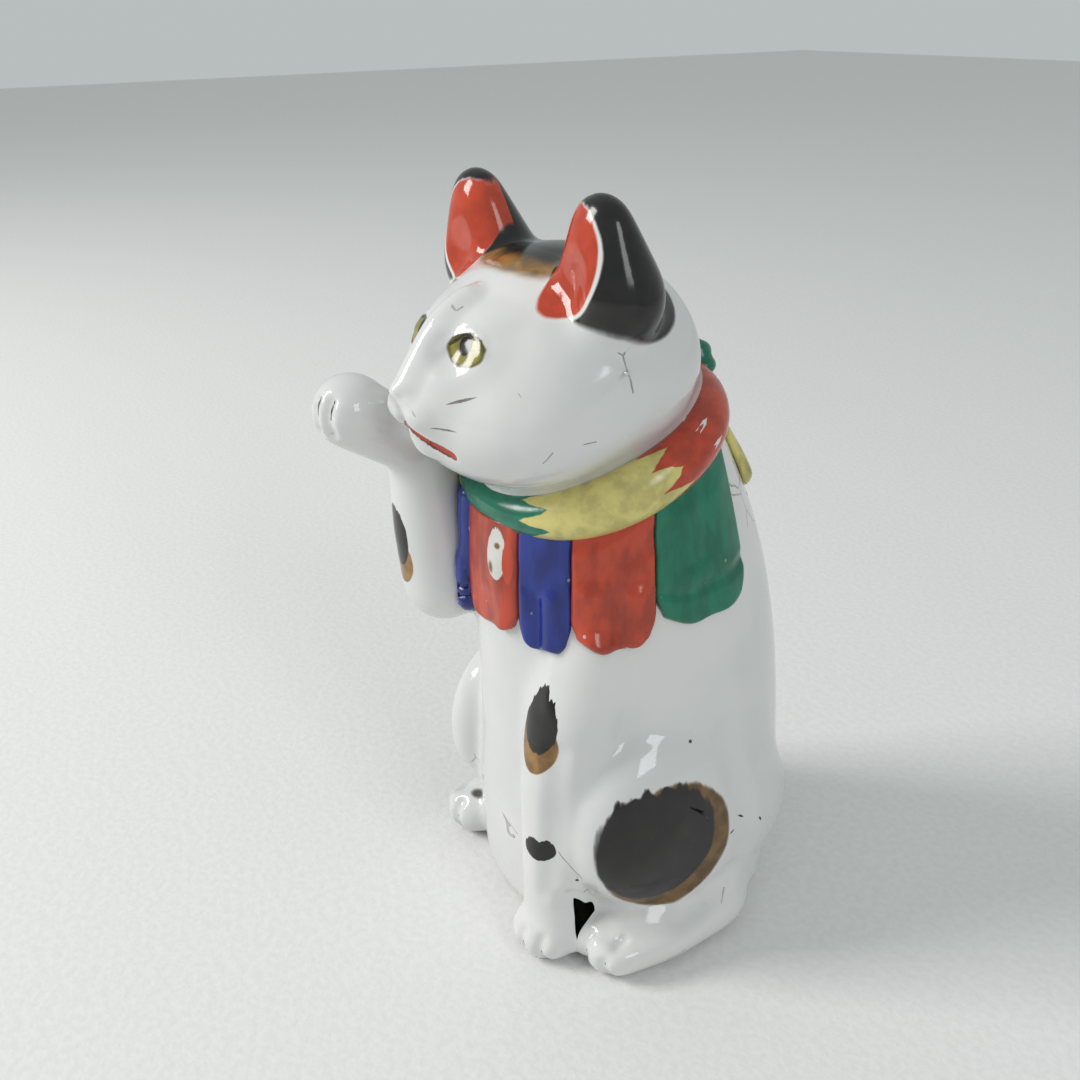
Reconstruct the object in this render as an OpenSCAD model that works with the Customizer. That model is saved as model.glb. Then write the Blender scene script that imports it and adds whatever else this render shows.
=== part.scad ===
// Beckoning cat figurine of hollow glazed porcelain, sitting up with its right forepaw raised.
// Every piece is drawn where the potter joins it to its neighbours with slip.
// The cat faces -Y, its left side is +X, and its base stands on z = 0.
// The origin is the middle of its footprint, feet included. Lengths are in millimetres.

/* [Overall] */
// Height from the table to the tips of the ears
total_height = 210; // [190:1:230]
// Thickness of the cast porcelain wall
wall = 4.5; // [3.5:0.5:5.5]

/* [Head] */
// Half the width of the skull
skull_half_width = 38; // [36:0.5:40]
// How far each ear stands from the middle of the head
ear_spread = 26; // [24:0.5:28]
// How far the muzzle stands in front of the middle of the base
muzzle_reach = 43; // [41:0.5:45]

/* [Limbs] */
// Distance from the middle of the body to the raised forearm
raised_arm_side = 27; // [25:0.5:29]
// Distance from the middle of the body to the standing foreleg
foreleg_side = 22; // [20:0.5:24]
// Radius of the haunch seen from the side
haunch_radius = 31; // [29:0.5:33]

/* [Dress] */
// Thickness of the rolled neck cloth
roll_thickness = 14; // [12:0.5:15]
// How far the bib flaps stand out from the chest
flap_relief = 2.4; // [1.8:0.2:3]

/* [Base] */
// Thickness of the closing plate under the body
plate_thickness = 5; // [4:0.5:6]
// Diameter of the firing vent in the closing plate
vent_diameter = 12; // [8:1:16]

/* [Hidden] */

// The shapes below are drawn for this height, then scaled to total_height
drawn_height = 210;
size_ratio = total_height / drawn_height;
// Middle of the footprint, counted from the middle of the neck
footprint_middle_y = 8.5;
// Where the front and back halves of the body meet, and of the head
seam_y = 6;
head_seam_y = -14;
// Longer than anything drawn, for cutting away what lies beyond a plane
far = 400;
sides = 36;
clay_sides = 24;

porcelain = "#e9e9e4";
ink_black = "#16120f";
enamel_red = "#c4402b";
enamel_blue = "#24359b";
enamel_green = "#127a5a";
enamel_yellow = "#d8cf77";

// Rings up the trunk: height, middle in Y, half width, half depth
trunk_rings = [
    [0, 13, 42, 37],
    [7, 13.75, 45, 41.25],
    [25, 14.5, 46, 43.5],
    [50, 15.75, 44, 44.25],
    [75, 15.25, 40, 44.75],
    [100, 12.5, 36.5, 43.5],
    [122, 8.75, 33.5, 39.75],
    [142, 4.75, 31, 33.25],
    [165, 2, 27, 26]
];

// Half width and half depth of the closing plate, and the place of its vent
plate_width = trunk_rings[0][2] - wall - 0.4;
plate_depth = trunk_rings[0][3] - wall - 0.4;
vent_y = 26;

// Neck plane: it tilts up towards the nape
neck_middle = [0, 1, 142];
neck_tilt = 27;
neck_half_width = 33;
neck_half_depth = 31;

// Catmull-Rom blend of four listed rings, b to c as t goes from 0 to 1
function blend(a, b, c, d, t) =
    0.5 * (2 * b + (c - a) * t + (2 * a - 5 * b + 4 * c - d) * t * t
    + (3 * b - a - 3 * c + d) * t * t * t);

function ring_between(list, i, t) =
    blend(list[max(i - 1, 0)], list[i], list[i + 1], list[min(i + 2, len(list) - 1)], t);

function smooth_rings(list, steps) = [
    for (i = [0 : len(list) - 2]) for (k = [0 : steps - 1]) ring_between(list, i, k / steps),
    list[len(list) - 1]
];

module to_size() scale(size_ratio) translate([0, -footprint_middle_y, 0]) children();

// One oval lump of clay
module lump(middle, radii) translate(middle) scale(radii) sphere(1, $fn = clay_sides);

// A limb of clay through lumps given as [middle, radii]
module limb(lumps) for (i = [0 : len(lumps) - 2]) hull() {
    lump(lumps[i][0], lumps[i][1]);
    lump(lumps[i + 1][0], lumps[i + 1][1]);
}

module ring_disc(ring, grow) translate([0, ring[1], ring[0]]) linear_extrude(0.01)
    scale([ring[2] + grow, ring[3] + grow]) circle(1, $fn = sides);

module loft(rings, grow) for (i = [0 : len(rings) - 2]) hull() {
    ring_disc(rings[i], grow);
    ring_disc(rings[i + 1], grow);
}

module below_table() translate([-far / 2, -far / 2, -far]) cube(far);

module above_neck() translate(neck_middle) rotate([neck_tilt, 0, 0])
    translate([-far / 2, -far / 2, 0]) cube(far);

module below_neck() translate(neck_middle) rotate([neck_tilt, 0, 0])
    translate([-far / 2, -far / 2, -far]) cube(far);

module in_front_of(y) translate([-far / 2, y - far, -far / 2]) cube(far);

module behind(y) translate([-far / 2, y, -far / 2]) cube(far);

module haunch(side, grow) hull() {
    lump([side * 33, 4, 42], [14 + grow, haunch_radius + grow, haunch_radius + grow]);
    lump([side * 27, 20, 34], [20 + grow, haunch_radius + grow, 27 + grow]);
}

module column(grow) loft(smooth_rings(trunk_rings, 2), grow);

// Trunk with both haunches, grown outwards by grow
module trunk(grow) difference() {
    union() {
        column(grow);
        for (side = [-1, 1]) haunch(side, grow);
    }
    below_table();
}

// Hollow of the trunk, which runs on up into the head and down through the foot rim
module trunk_hollow() {
    column(-wall);
    hull() {
        ring_disc(trunk_rings[0], -wall);
        translate([0, 0, -1]) ring_disc(trunk_rings[0], -wall);
    }
}

module skull(grow) {
    hull() {
        lump([0, -8, 166], [skull_half_width + grow, 34 + grow, 28 + grow]);
        lump([0, -22, 157], [35 + grow, 28 + grow, 21 + grow]);
    }
    hull() {
        lump([0, -muzzle_reach, 160], [15 + grow, 11 + grow, 11 + grow]);
        lump([0, -24, 168], [26 + grow, 24 + grow, 18 + grow]);
    }
}

module shell_of_body() difference() {
    trunk(0);
    trunk_hollow();
    above_neck();
}

module shell_of_head() difference() {
    union() {
        skull(0);
        column(0);
    }
    skull(-wall);
    trunk_hollow();
    below_neck();
}

module body_front_shell() color(porcelain) to_size() intersection() {
    shell_of_body();
    in_front_of(seam_y);
}

module body_back_shell() color(porcelain) to_size() intersection() {
    shell_of_body();
    behind(seam_y);
}

module head_face_shell() color(porcelain) to_size() intersection() {
    shell_of_head();
    in_front_of(head_seam_y);
}

module head_back_shell() color(porcelain) to_size() intersection() {
    shell_of_head();
    behind(head_seam_y);
}

// Ear with a shallow cup in its front
module ear(side) color(ink_black) to_size() difference() {
    hull() {
        lump([side * (ear_spread + 1), -15, 202.5], [9, 6, 7.5]);
        lump([side * ear_spread, -12, 186], [15, 12, 13]);
    }
    lump([side * (ear_spread - 2), -26.5, 191], [9, 6, 13]);
    skull(0);
}

module left_ear() ear(1);

module right_ear() ear(-1);

arm_line = [
    [[-22, -12, 112], [13, 13, 13]],
    [[-raised_arm_side, -30, 98], [12, 12, 12]],
    [[-raised_arm_side, -33, 116], [11, 11, 11]],
    [[-raised_arm_side, -35, 134], [9.5, 9.5, 9.5]]
];

module raised_arm() color(porcelain) to_size() difference() {
    limb(arm_line);
    trunk(0);
    skull(0);
    paw_clay();
}

module paw_clay() {
    hull() {
        lump([-raised_arm_side + 2, -55.5, 153.5], [10.5, 10.5, 10]);
        lump([-raised_arm_side + 1, -42, 143], [8.5, 8.5, 8.5]);
    }
}

module raised_paw() color(porcelain) to_size() difference() {
    paw_clay();
    skull(0);
}

leg_line = [
    [[foreleg_side - 4, -11, 92], [15, 14, 14]],
    [[foreleg_side - 2, -17, 74], [14, 14, 14]],
    [[foreleg_side - 1, -22, 54], [11.5, 12.5, 12]],
    [[foreleg_side, -25, 28], [9.5, 10, 10]],
    [[foreleg_side, -24.5, 9], [10, 10, 10]]
];

module standing_foreleg() color(porcelain) to_size() difference() {
    union() {
        limb(leg_line);
        hull() {
            lump([foreleg_side, -24, 7.5], [10.5, 10, 8.5]);
            lump([foreleg_side, -30, 6.5], [11, 8.5, 7.5]);
        }
    }
    trunk(0);
    below_table();
}

module hind_foot(side) color(porcelain) to_size() difference() {
    limb([
        [[side * 38, -17.5, 7], [10.5, 9, 8]],
        [[side * 40, -3, 8], [11, 13, 9]],
        [[side * 38, 14, 8], [12, 16, 9]]
    ]);
    trunk(0);
    below_table();
}

module left_hind_foot() hind_foot(1);

module right_hind_foot() hind_foot(-1);

module tail() color(ink_black) to_size() difference() {
    limb([
        [[0, 54, 13], [11, 9, 11]],
        [[0, 57, 24], [8, 6, 9]]
    ]);
    trunk(0);
}

// Closing plate inside the foot rim, with the vent that lets the steam out in the firing
module base_plate() color(porcelain) to_size() difference() {
    translate([0, trunk_rings[0][1], 0]) linear_extrude(plate_thickness)
        polygon([for (a = [0 : 5 : 355]) [plate_width * cos(a), plate_depth * sin(a)]]);
    translate([0, vent_y, -1]) cylinder(h = plate_thickness + 2, d = vent_diameter, $fn = 48);
}

// Middle of the rolled cloth at an angle round the neck, 0 at the throat
function roll_point(a) = [
    neck_half_width * sin(a),
    -neck_half_depth * cos(a) * cos(neck_tilt),
    -neck_half_depth * cos(a) * sin(neck_tilt)
] + neck_middle;

module roll_clay() for (a = [0 : 15 : 345]) hull() {
    translate(roll_point(a)) sphere(d = roll_thickness, $fn = 12);
    translate(roll_point(a + 15)) sphere(d = roll_thickness, $fn = 12);
}

module neck_roll() color(enamel_yellow) to_size() difference() {
    roll_clay();
    trunk(0);
    column(0);
    skull(0);
}

// Flap of the bib between two angles round the body, hanging drop below the neck cloth
module flap(from, to, low) to_size() difference() {
    intersection() {
        trunk(flap_relief);
        linear_extrude(far) wedge(from + 0.4, to - 0.4);
        translate([-far / 2, -far / 2, low]) cube(far);
        below_neck();
    }
    trunk(0);
    roll_clay();
    limb(arm_line);
    limb(leg_line);
}

// Plan of the space between two angles, counted from the throat towards the cat's left
module wedge(from, to) polygon([
    [0, -2],
    [far * sin(from), -far * cos(from)],
    [far * sin(to), -far * cos(to)]
]);

module bib_front_red() color(enamel_red) flap(-21, 21, 96);

module bib_left_blue() color(enamel_blue) flap(21, 47, 94);

module bib_right_blue() color(enamel_blue) flap(-47, -21, 94);

module bib_left_red() color(enamel_red) flap(47, 85, 96);

module bib_right_red() color(enamel_red) flap(-85, -47, 96);

module bib_left_green() color(enamel_green) flap(85, 129, 100);

module bib_right_green() color(enamel_green) flap(-129, -85, 100);

module knot_clay() lump(roll_point(180) + [0, 3, 1], [10, 8, 8]);

module nape_knot() color(enamel_green) to_size() difference() {
    knot_clay();
    trunk(0);
    skull(0);
    roll_clay();
}

module ribbon(side) color(enamel_red) to_size() difference() {
    intersection() {
        trunk(flap_relief);
        hull() {
            translate([side * 5, 0, 162]) cube([8, 200, 1], center = true);
            translate([side * 11, 0, 124]) cube([13, 200, 1], center = true);
        }
        behind(seam_y);
        below_neck();
    }
    trunk(0);
    roll_clay();
    knot_clay();
}

module left_ribbon() ribbon(1);

module right_ribbon() ribbon(-1);

body_front_shell();
body_back_shell();
head_face_shell();
head_back_shell();
left_ear();
right_ear();
raised_arm();
raised_paw();
standing_foreleg();
left_hind_foot();
right_hind_foot();
tail();
base_plate();
neck_roll();
bib_front_red();
bib_left_blue();
bib_right_blue();
bib_left_red();
bib_right_red();
bib_left_green();
bib_right_green();
nape_knot();
left_ribbon();
right_ribbon();
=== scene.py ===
import math

import bmesh
import bpy
from bpy.props import FloatProperty, FloatVectorProperty, IntProperty, PointerProperty
from mathutils import Matrix, Vector
from mathutils.bvhtree import BVHTree
from mathutils.kdtree import KDTree


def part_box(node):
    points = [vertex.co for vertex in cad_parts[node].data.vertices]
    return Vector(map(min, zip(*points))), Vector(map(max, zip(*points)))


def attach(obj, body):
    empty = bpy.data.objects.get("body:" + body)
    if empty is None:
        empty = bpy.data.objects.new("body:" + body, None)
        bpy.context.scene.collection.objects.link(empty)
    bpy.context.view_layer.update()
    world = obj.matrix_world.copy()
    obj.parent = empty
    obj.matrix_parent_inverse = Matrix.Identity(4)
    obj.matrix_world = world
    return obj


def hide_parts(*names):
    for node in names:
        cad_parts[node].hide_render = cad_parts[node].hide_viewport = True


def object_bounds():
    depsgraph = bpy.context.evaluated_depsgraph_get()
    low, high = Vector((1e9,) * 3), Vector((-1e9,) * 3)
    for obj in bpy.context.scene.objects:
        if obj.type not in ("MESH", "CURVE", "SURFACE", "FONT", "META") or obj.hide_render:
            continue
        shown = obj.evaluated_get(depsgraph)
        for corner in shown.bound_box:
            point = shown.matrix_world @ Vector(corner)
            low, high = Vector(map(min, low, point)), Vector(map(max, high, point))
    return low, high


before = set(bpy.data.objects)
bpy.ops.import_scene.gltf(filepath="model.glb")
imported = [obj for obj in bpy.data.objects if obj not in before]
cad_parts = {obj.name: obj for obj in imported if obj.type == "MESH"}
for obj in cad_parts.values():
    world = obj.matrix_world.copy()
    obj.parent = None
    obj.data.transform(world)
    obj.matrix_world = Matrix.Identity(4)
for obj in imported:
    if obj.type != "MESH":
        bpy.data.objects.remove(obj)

bl_info = {
    "name": "Porcelain beckoning cat",
    "version": (1, 0, 0),
    "blender": (4, 5, 0),
    "location": "View3D > Sidebar > Figurine",
    "description": "Models and paints a sitting porcelain cat that beckons with its right forepaw",
    "category": "Object",
}

MM = 0.001
FAR = 1.0
CAD_BOX = [list(corner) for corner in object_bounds()]
HEIGHT = CAD_BOX[1][2]

# The clay pieces that are modelled as one skin, then parted again at the potter's seams
CLAY_NODES = [
    "body_front_shell", "body_back_shell", "head_face_shell", "head_back_shell",
    "left_ear", "right_ear", "raised_arm", "raised_paw", "standing_foreleg",
    "left_hind_foot", "right_hind_foot", "tail",
]
HOLLOW_NODES = CLAY_NODES[:4]
FIRED_NAMES = {name: name.replace("_shell", "") + "_clay" for name in CLAY_NODES}

# Lowest and highest corner of every CAD node, asked for once because it takes long
BOXES = {name: tuple(Vector(corner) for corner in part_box(name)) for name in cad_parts}

# Small sizes of the modelling
MERGE = 0.01 * MM
DISC_OVERLAP = 2.5 * MM
TOE_GROOVE = 2.4 * MM
TOE_DEPTH = 1.2 * MM
PAD_HEM = 1.5 * MM
PAD_BACK = 2.5 * MM
RIBBON_RELIEF = 1.6 * MM
RIBBON_HEM = 1.8 * MM
RIBBON_WIDTH = 9 * MM
RIBBON_BACK = 2.0 * MM
SUNK_RIM = 0.5 * MM
ARM_CLEARANCE = 7 * MM
NECK_REACH = 32 * MM
PLATE_BEVEL = 0.7 * MM
VENT_PLACE = (0.5, 0.702, 1)
VENT_SHARE = 0.187
BUMP_UNIT = 1 * MM

# The clay while it is being modelled: its skin, the finders over it, and the plain torso
clay = {}

# Directions to look in, each with the box axes that run across and up in that view
LOOKS = {
    "front": (Vector((0, 1, 0)), 0, 2),
    "back": (Vector((0, -1, 0)), 0, 2),
    "left": (Vector((-1, 0, 0)), 1, 2),
    "right": (Vector((1, 0, 0)), 1, 2),
    "top": (Vector((0, 0, -1)), 0, 1),
}


# ---------------------------------------------------------------- settings

class ClaySettings(bpy.types.PropertyGroup):
    """How the clay is modelled."""
    skin_voxel: FloatProperty(
        name="Skin voxel", description="Size of the squares of the modelled skin",
        default=0.8 * MM, min=0.5 * MM, unit="LENGTH", precision=5)
    sponge_passes: IntProperty(
        name="Sponge passes", description="How often the wet clay is smoothed", default=44, min=0)
    seam_passes: IntProperty(
        name="Seam passes", description="How often the seams are straightened", default=12, min=0)
    wall: FloatProperty(
        name="Wall", description="Thickness of the cast wall",
        default=4.5 * MM, min=2 * MM, unit="LENGTH", precision=4)
    flap_relief: FloatProperty(
        name="Flap relief", description="How far the bib stands out from the chest",
        default=2.3 * MM, min=1 * MM, unit="LENGTH", precision=4)
    roll_radius: FloatProperty(
        name="Roll radius", description="Radius of the rolled neck cloth",
        default=7 * MM, min=4 * MM, unit="LENGTH", precision=4)


class PaintSettings(bpy.types.PropertyGroup):
    """Colours of the glaze and of the enamels."""
    white: FloatVectorProperty(
        name="White glaze", description="Glaze over the whole figurine",
        default=(0.70, 0.69, 0.685), size=3, subtype="COLOR", min=0, max=1)
    black: FloatVectorProperty(
        name="Black", description="Black of the coat patches",
        default=(0.012, 0.010, 0.010), size=3, subtype="COLOR", min=0, max=1)
    tan: FloatVectorProperty(
        name="Tan", description="Tan edges of the coat patches",
        default=(0.32, 0.17, 0.05), size=3, subtype="COLOR", min=0, max=1)
    red: FloatVectorProperty(
        name="Iron red", description="Red of the bib, ears and mouth",
        default=(0.50, 0.055, 0.022), size=3, subtype="COLOR", min=0, max=1)
    blue: FloatVectorProperty(
        name="Blue", description="Blue of the bib",
        default=(0.015, 0.035, 0.26), size=3, subtype="COLOR", min=0, max=1)
    green: FloatVectorProperty(
        name="Green", description="Green of the bib and neck cloth",
        default=(0.005, 0.17, 0.10), size=3, subtype="COLOR", min=0, max=1)
    yellow: FloatVectorProperty(
        name="Yellow", description="Yellow of the neck cloth",
        default=(0.66, 0.58, 0.20), size=3, subtype="COLOR", min=0, max=1)
    olive: FloatVectorProperty(
        name="Olive", description="Colour of the eyes",
        default=(0.30, 0.26, 0.055), size=3, subtype="COLOR", min=0, max=1)


class StageSettings(bpy.types.PropertyGroup):
    """Where the camera stands and how the figurine is lit."""
    azimuth: FloatProperty(
        name="Azimuth", description="Direction of the camera round the figurine",
        default=math.radians(57.2), subtype="ANGLE")
    pitch: FloatProperty(
        name="Pitch", description="How far the camera looks down",
        default=math.radians(24.5), subtype="ANGLE")
    roll: FloatProperty(
        name="Roll", description="How far the camera is turned about its own line of sight",
        default=math.radians(-0.8), subtype="ANGLE")
    stand: FloatVectorProperty(
        name="Camera stand", description="Place of the camera, as shares of the figurine's height",
        default=(1.167, -0.864, 1.186), size=3)
    lens: FloatProperty(
        name="Lens", description="Focal length on a 36 mm sensor", default=40, min=20)
    floor_size: FloatProperty(
        name="Floor", description="Half the side of the floor", default=4, min=1, unit="LENGTH")


# ---------------------------------------------------------------- places on the clay

def node_box(node):
    """Copies of a CAD node's lowest and highest corners."""
    return tuple(corner.copy() for corner in BOXES[node])


def within(node, shares):
    """A point in a CAD node's box, each coordinate as a share from its low to its high side."""
    low, high = node_box(node)
    return Vector(low[i] + (high[i] - low[i]) * shares[i] for i in range(3))


def touch(node, look, across, up):
    """Point and normal of the skin, looking at a node's box from one side."""
    direction, axis_across, axis_up = LOOKS[look]
    shares = [0.5, 0.5, 0.5]
    shares[axis_across] = across
    shares[axis_up] = up
    start = within(node, shares) - direction * FAR
    point, normal, _, _ = clay["tree"].ray_cast(start, direction)
    return point, normal


def face(across, up):
    """Point on the face: across as a share of half the skull's width, up as a share of its height."""
    return touch("head_face_shell", "front", 0.5 + across / 2, up)[0]


def falloff(share):
    """1 in the middle, 0 from a share of 1 outwards, smooth between."""
    rest = max(0.0, 1 - share * share)
    return rest * rest


# ---------------------------------------------------------------- clay

def add_disc(mesh, node, overlap):
    """Closes the foot rim with a plain disc of the closing plate's size."""
    low, high = node_box(node)
    made = bmesh.ops.create_cone(
        mesh, cap_ends=True, segments=96, radius1=1, radius2=1, depth=high.z - low.z)
    half = (high - low) / 2
    bmesh.ops.scale(mesh, verts=made["verts"], vec=(half.x + overlap, half.y + overlap, 1))
    bmesh.ops.translate(mesh, verts=made["verts"], vec=(low + high) / 2)


def keep_outer_skin(mesh):
    """Deletes every island except the one that reaches the highest: the hollow is gone."""
    unseen = set(mesh.verts)
    islands = []
    while unseen:
        stack = [unseen.pop()]
        island = set(stack)
        while stack:
            for edge in stack.pop().link_edges:
                for vert in edge.verts:
                    if vert in unseen:
                        unseen.discard(vert)
                        island.add(vert)
                        stack.append(vert)
        islands.append(island)
    islands.sort(key=lambda island: max(vert.co.z for vert in island))
    for island in islands[:-1]:
        bmesh.ops.delete(mesh, geom=list(island), context="VERTS")


def remeshed(mesh, voxel):
    """The same shape with an even skin of squares."""
    data = bpy.data.meshes.new("clay")
    mesh.to_mesh(data)
    mesh.free()
    blank = bpy.data.objects.new("clay", data)
    bpy.context.collection.objects.link(blank)
    modifier = blank.modifiers.new("skin", "REMESH")
    modifier.mode = "VOXEL"
    modifier.voxel_size = voxel
    result = bmesh.new()
    result.from_object(blank, bpy.context.evaluated_depsgraph_get())
    bpy.data.objects.remove(blank)
    bpy.data.meshes.remove(data)
    return result


def joined(names):
    """One mesh with merged copies of CAD nodes."""
    whole = bmesh.new()
    for name in names:
        part = bmesh.new()
        part.from_mesh(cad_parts[name].data)
        bmesh.ops.remove_doubles(part, verts=part.verts, dist=MERGE)
        data = bpy.data.meshes.new(name)
        part.to_mesh(data)
        part.free()
        whole.from_mesh(data)
        bpy.data.meshes.remove(data)
    return whole


def smooth_once(mesh):
    bmesh.ops.smooth_vert(
        mesh, verts=mesh.verts, factor=0.5, use_axis_x=True, use_axis_y=True, use_axis_z=True)


def sponge(mesh, passes):
    """Smooths the wet clay, and keeps it standing on the table."""
    for _ in range(passes):
        smooth_once(mesh)
    for vert in mesh.verts:
        vert.co.z = max(vert.co.z, 0)
    mesh.normal_update()


def make_finders(mesh):
    """Lets touch() and near() find the skin as it now is."""
    mesh.normal_update()
    clay["tree"] = BVHTree.FromBMesh(mesh)
    finder = KDTree(len(mesh.verts))
    mesh.verts.ensure_lookup_table()
    for vert in mesh.verts:
        finder.insert(vert.co, vert.index)
    finder.balance()
    clay["finder"] = finder


def near(mesh, middle, reach):
    return [mesh.verts[index] for _, index, _ in clay["finder"].find_range(middle, reach)]


def press(mesh, middle, radii, depth):
    """Presses the clay in round a point, or pulls it out when depth is negative."""
    for vert in near(mesh, middle, max(radii)):
        offset = vert.co - middle
        share = math.sqrt(sum((offset[i] / radii[i]) ** 2 for i in range(3)))
        vert.co -= vert.normal * depth * falloff(share)


def press_both(mesh, across, up, radii, depth):
    """The same press on both sides of the face."""
    for side in (-1, 1):
        press(mesh, face(side * across, up), [radius * MM for radius in radii], depth * MM)


def score(mesh, points, width, depth):
    """Scores a groove along a line of points, or lays a ridge when depth is negative."""
    moves = {}
    for start, end in zip(points, points[1:]):
        length = (end - start).length
        middle = (start + end) / 2
        for vert in near(mesh, middle, length / 2 + width):
            offset = vert.co - start
            share = min(max(offset.dot(end - start) / (length * length), 0), 1)
            distance = (vert.co - start.lerp(end, share)).length
            amount = falloff(distance / width) * depth
            if abs(amount) > abs(moves.get(vert, 0)):
                moves[vert] = amount
    for vert, amount in moves.items():
        vert.co -= vert.normal * amount


def model_face(skin):
    """Eye sockets, brows, nose, muzzle, mouth and chin."""
    bridge = [face(0, up) for up in (0.86, 0.78, 0.70, 0.63, 0.58)]
    score(skin, bridge, 6.5 * MM, -2.6 * MM)
    press_both(skin, 0.25, 0.72, (8, 9, 7), 2.5)
    press_both(skin, 0.38, 0.60, (9, 10, 8), 0.5)
    press_both(skin, 0.30, 0.725, (6, 6, 4.6), -0.7)
    press_both(skin, 0.33, 0.83, (10, 9, 5), -0.9)
    press(skin, face(0, 0.565), [5 * MM, 6 * MM, 4 * MM], -1.6 * MM)
    press_both(skin, 0.15, 0.50, (6.5, 8, 5.5), -1.5)
    press(skin, face(0, 0.35), [7 * MM, 8 * MM, 5 * MM], -1.6 * MM)
    make_finders(skin)
    score(skin, [face(0, up) for up in (0.545, 0.50, 0.46)], 1.6 * MM, 0.8 * MM)
    for side in (-1, 1):
        score(skin, mouth_line(side), 2.0 * MM, 1.1 * MM)
        press(skin, face(side * 0.075, 0.565), [1.8 * MM, 3 * MM, 1.4 * MM], 0.9 * MM)
        lid = [face(side * across, up) for across, up in
               ((0.14, 0.715), (0.20, 0.765), (0.29, 0.785), (0.38, 0.765), (0.44, 0.72))]
        score(skin, lid, 1.6 * MM, -0.45 * MM)


def model_haunches(skin):
    """Valleys in front of the left haunch and behind each haunch, and the groove above each hind
    foot.
    """
    lines = [
        ([(0.84, 0.29, 0.105), (0.93, 0.36, 0.068),
          (0.97, 0.52, 0.066), (0.97, 0.66, 0.10)], 5.5, 1.6),
        ([(0.91, 0.64, 0.31), (0.94, 0.67, 0.22), (0.957, 0.686, 0.14)], 7.0, 1.1),
        ([(0.80, 0.27, 0.33), (0.80, 0.26, 0.22), (0.79, 0.25, 0.12)], 5.0, 1.0),
    ]
    for shares, width, depth in lines:
        for side in (1, -1):
            points = [spot(0.5 + side * (across - 0.5), along, up)[0] for across, along, up in shares]
            if side > 0 or width > 5:
                score(skin, points, width * MM, depth * MM)


def mouth_line(side):
    """Points from the middle of the upper lip to one corner of the mouth."""
    return [face(side * across, up) for across, up in
            ((0.0, 0.455), (0.06, 0.425), (0.15, 0.385), (0.29, 0.355))]


def toe_lines(node, shares, low=0.12, high=0.75):
    """Lines between the toes of a foot that points forwards."""
    lines = []
    for share in shares:
        front = touch(node, "front", share, low)[0]
        lines.append([front, touch(node, "front", share, (low + high) / 2)[0],
                      touch(node, "front", share, high)[0]])
    return lines


def paw_lines():
    """Lines between the toes of the raised paw, which curl over its tip."""
    return [[touch("raised_paw", "front", share, up)[0] for up in (0.52, 0.66, 0.82)]
            for share in (0.27, 0.50, 0.73)]


FOOT_TOES = {
    "standing_foreleg": (0.5, 0.77),
    "left_hind_foot": (0.36, 0.66),
    "right_hind_foot": (0.34, 0.64),
}


def all_toe_lines(node):
    if node == "raised_paw":
        return paw_lines()
    high = 0.10 if node == "standing_foreleg" else 0.72
    return toe_lines(node, FOOT_TOES[node], 0.2 * high, high)


def torso_finder():
    """Finds the plain torso, without arm, legs and head."""
    torso = joined(["body_front_shell", "body_back_shell"])
    return BVHTree.FromBMesh(torso)


def model_skin(settings):
    """One skin over all clay pieces, with the details pressed and scored into it."""
    clay["torso"] = torso_finder()
    blank = joined(CLAY_NODES)
    add_disc(blank, "base_plate", DISC_OVERLAP)
    skin = remeshed(blank, settings.skin_voxel)
    keep_outer_skin(skin)
    sponge(skin, settings.sponge_passes)
    make_finders(skin)
    model_face(skin)
    model_haunches(skin)
    make_finders(skin)
    for node in [*FOOT_TOES, "raised_paw"]:
        for line in all_toe_lines(node):
            score(skin, line, TOE_GROOVE, TOE_DEPTH)
    sponge(skin, 2)
    make_finders(skin)
    return skin


def label_faces(skin):
    """Says for each face of the skin which clay piece it belongs to."""
    points, triangles, owners = [], [], []
    for index, name in enumerate(CLAY_NODES + ["base_plate"]):
        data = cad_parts[name].data
        start = len(points)
        points += [vert.co.copy() for vert in data.vertices]
        for polygon in data.polygons:
            triangles.append([start + corner for corner in polygon.vertices])
            owners.append(index)
        if name == CLAY_NODES[-1]:
            clay_only = BVHTree.FromPolygons(points, triangles)
    tree = BVHTree.FromPolygons(points, triangles)
    labels = skin.faces.layers.int.new("piece")
    for face_ in skin.faces:
        middle = face_.calc_center_median()
        owner = owners[tree.find_nearest(middle)[2]]
        if owner == len(CLAY_NODES) and middle.z > 1 * MM:
            owner = owners[clay_only.find_nearest(middle)[2]]
        face_[labels] = owner
    return labels


def straighten_seams(skin, labels, passes):
    """Relaxes the stepped borders between pieces into smooth seams."""
    ends = {}
    for edge in skin.edges:
        pair = edge.link_faces
        if len(pair) == 2 and pair[0][labels] != pair[1][labels]:
            for vert in edge.verts:
                ends.setdefault(vert, []).append(edge.other_vert(vert))
    for _ in range(passes):
        moved = {vert: (vert.co * 2 + pair[0].co + pair[1].co) / 4
                 for vert, pair in ends.items() if len(pair) == 2}
        for vert, co in moved.items():
            vert.co = co


def cut_piece(skin, index):
    """The faces of one piece, as a mesh of their own that remembers the skin's normals."""
    piece = skin.copy()
    labels = piece.faces.layers.int["piece"]
    others = [face_ for face_ in piece.faces if face_[labels] != index]
    bmesh.ops.delete(piece, geom=others, context="FACES")
    return piece


def thicken(mesh, depth):
    """Gives an open skin a wall behind it."""
    made = bmesh.ops.extrude_face_region(mesh, geom=list(mesh.faces), use_keep_orig=True)
    inner = [part for part in made["geom"] if isinstance(part, bmesh.types.BMVert)]
    for vert in inner:
        vert.co -= vert.normal * depth
    bmesh.ops.recalc_face_normals(mesh, faces=mesh.faces)
    return inner


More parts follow.
